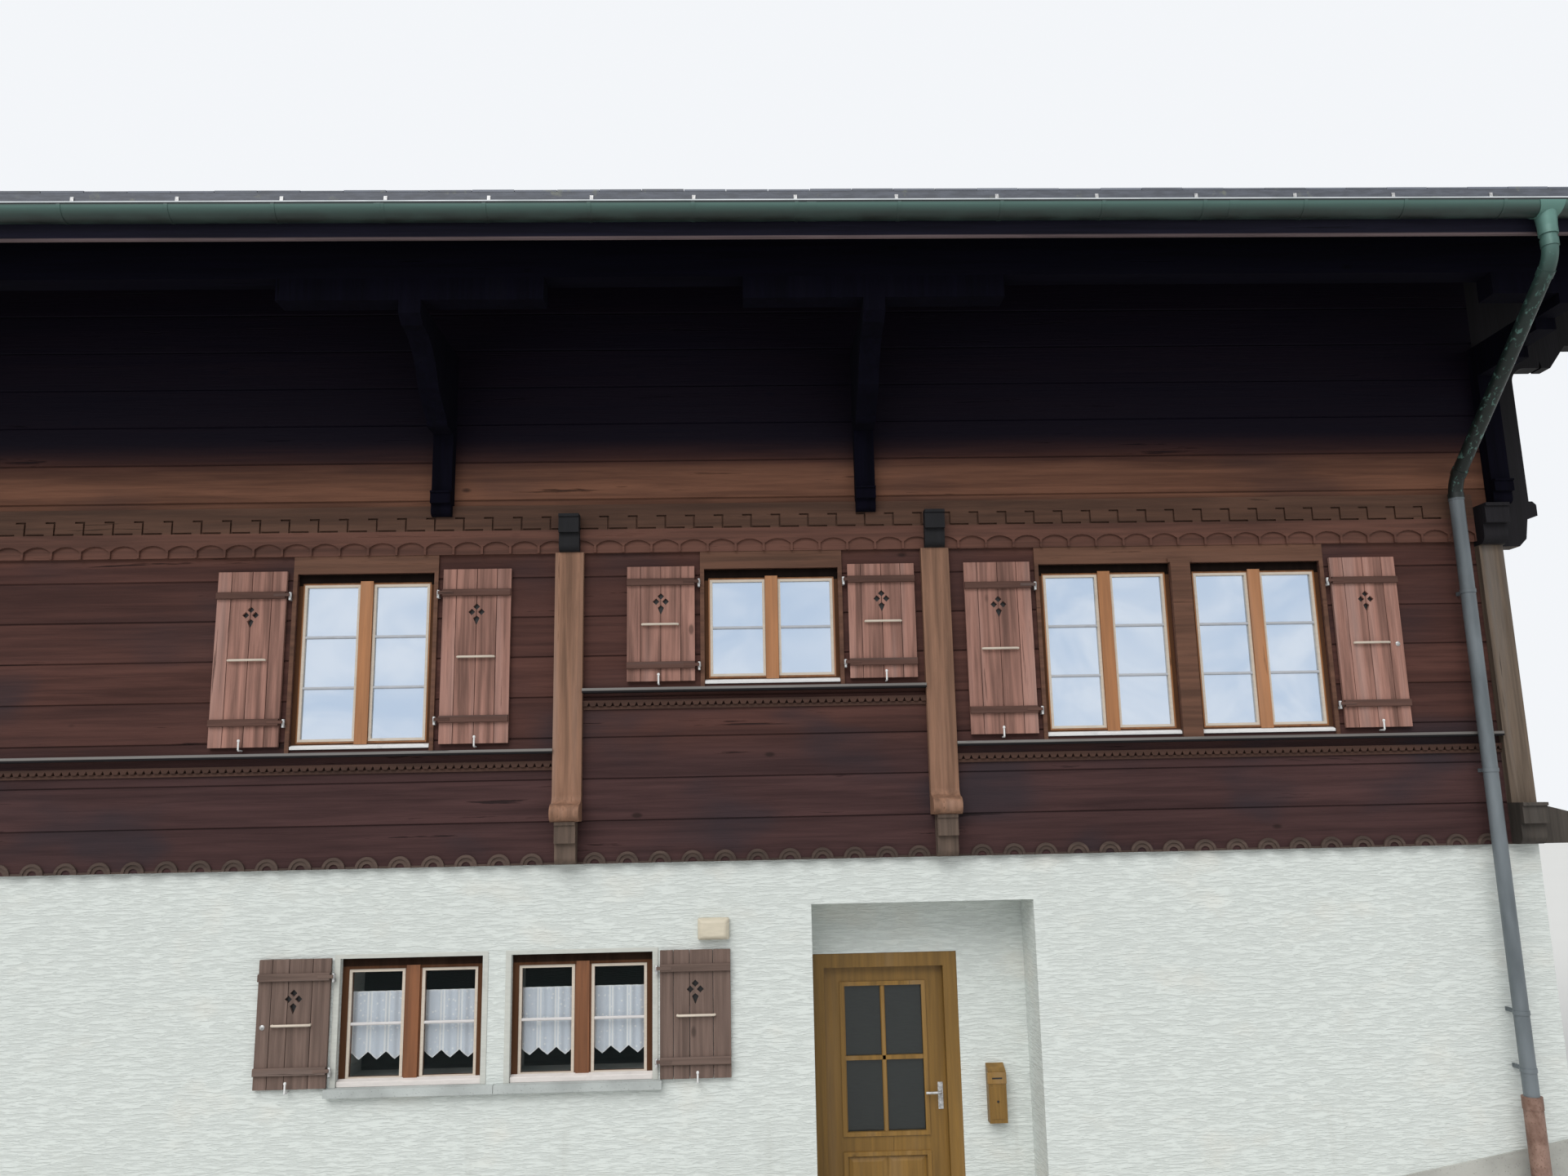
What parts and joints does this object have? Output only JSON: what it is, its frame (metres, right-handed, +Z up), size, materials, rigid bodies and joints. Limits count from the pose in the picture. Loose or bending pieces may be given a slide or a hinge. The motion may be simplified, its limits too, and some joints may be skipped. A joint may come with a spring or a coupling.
{
  "type": "alpine chalet",
  "caption": "Two-storey alpine house with a rendered masonry ground storey, a carved log storey, hinged shutters and a low saddle roof on wide bracketed eaves.",
  "frame": {"origin": "centre of the house's outline at the lowest ground level", "axes": "+X along the eaves side to the viewer's right, -Y out of the entrance side, +Z up"},
  "size_m": [15.864, 12.904, 10.059],
  "materials": {
    "masonry": "rough white render",
    "concrete": "weathered concrete",
    "logs": "dark sun-browned spruce logs",
    "beams": "dark weathered timber",
    "carving": "carved brown timber",
    "boards": "plain floor boards",
    "sill_wood": "grey weathered sill board",
    "slate": "dark grey slates",
    "copper": "green patina",
    "pipe": "blue grey weathered pipe",
    "iron_pipe": "red brown iron",
    "sash": "clear oiled orange-brown wood",
    "glass": "window glass",
    "stone_sill": "grey stone",
    "iron": "forged iron",
    "shutter": "red-brown painted boards",
    "shutter_ground": "grey-brown painted boards",
    "door_wood": "oiled orange-brown wood",
    "lace": "white lace"
  },
  "bodies": {
    "house": {"ground_floor": "concrete", "plinth": "concrete", "front_wall_left": "masonry", "front_wall_right": "masonry", "front_wall_lintel": "masonry", "entry_wall_side": "masonry", "entry_wall_over": "masonry", "back_wall": "masonry", "left_wall": "masonry", "right_wall": "masonry", "upper_floor": "boards", "attic_floor": "boards", "front_logs": "logs", "back_logs": "logs", "left_gable_logs": "logs", "right_gable_logs": "logs", "corner_logs": "beams", "gable_consoles": "beams", "cross_wall_posts": "carving", "carved_friezes": "carving", "sill_boards": "sill_wood", "window_casings": "carving", "eave_brackets": "beams", "purlins": "beams", "rafters": "beams", "roof_front": "slate", "roof_back": "slate", "ridge_cap": "slate", "fascia_boards": "beams", "gutters": "copper", "downpipes": "pipe", "standpipe": "iron_pipe", "front_windows": "sash", "rear_windows": "sash", "window_glass": "glass", "stone_sills": "stone_sill", "shutter_pins": "iron", "rear_shutters": "shutter", "door_frame": "door_wood", "letterbox": "beams", "lace_curtains": "lace"},
    "shutter_left_a_leaf": {"shutter_left_a": "shutter"},
    "shutter_left_b_leaf": {"shutter_left_b": "shutter"},
    "shutter_mid_a_leaf": {"shutter_mid_a": "shutter"},
    "shutter_mid_b_leaf": {"shutter_mid_b": "shutter"},
    "shutter_pair_a_leaf": {"shutter_pair_a": "shutter"},
    "shutter_pair_b_leaf": {"shutter_pair_b": "shutter"},
    "shutter_ground_a_leaf": {"shutter_ground_a": "shutter_ground"},
    "shutter_ground_b_leaf": {"shutter_ground_b": "shutter_ground"},
    "door_leaf": {"door": "door_wood"}
  },
  "joints": [
    {"name": "shutter_left_a_hinge", "type": "hinge", "parent": "house", "child": "shutter_left_a_leaf", "pos_m": [-3.29, -4.795, 4.5], "axis": [0, 0, 1], "range_deg": [0, 180]},
    {"name": "shutter_left_b_hinge", "type": "hinge", "parent": "house", "child": "shutter_left_b_leaf", "pos_m": [-2.133, -4.795, 4.5], "axis": [0, 0, -1], "range_deg": [0, 180]},
    {"name": "shutter_mid_a_hinge", "type": "hinge", "parent": "house", "child": "shutter_mid_a_leaf", "pos_m": [-0.073, -4.795, 4.5], "axis": [0, 0, 1], "range_deg": [0, 180]},
    {"name": "shutter_mid_b_hinge", "type": "hinge", "parent": "house", "child": "shutter_mid_b_leaf", "pos_m": [1.084, -4.795, 4.5], "axis": [0, 0, -1], "range_deg": [0, 180]},
    {"name": "shutter_pair_a_hinge", "type": "hinge", "parent": "house", "child": "shutter_pair_a_leaf", "pos_m": [2.63, -4.795, 4.5], "axis": [0, 0, 1], "range_deg": [0, 180]},
    {"name": "shutter_pair_b_hinge", "type": "hinge", "parent": "house", "child": "shutter_pair_b_leaf", "pos_m": [5.022, -4.795, 4.5], "axis": [0, 0, -1], "range_deg": [0, 180]},
    {"name": "shutter_ground_a_hinge", "type": "hinge", "parent": "house", "child": "shutter_ground_a_leaf", "pos_m": [-2.821, -4.765, 2], "axis": [0, 0, 1], "range_deg": [0, 180]},
    {"name": "shutter_ground_b_hinge", "type": "hinge", "parent": "house", "child": "shutter_ground_b_leaf", "pos_m": [-0.413, -4.765, 2], "axis": [0, 0, -1], "range_deg": [0, 180]},
    {"name": "door_hinge", "type": "hinge", "parent": "house", "child": "door_leaf", "pos_m": [0.864, -4.111, 1], "axis": [0, 0, 1], "range_deg": [0, 100]}
  ]
}
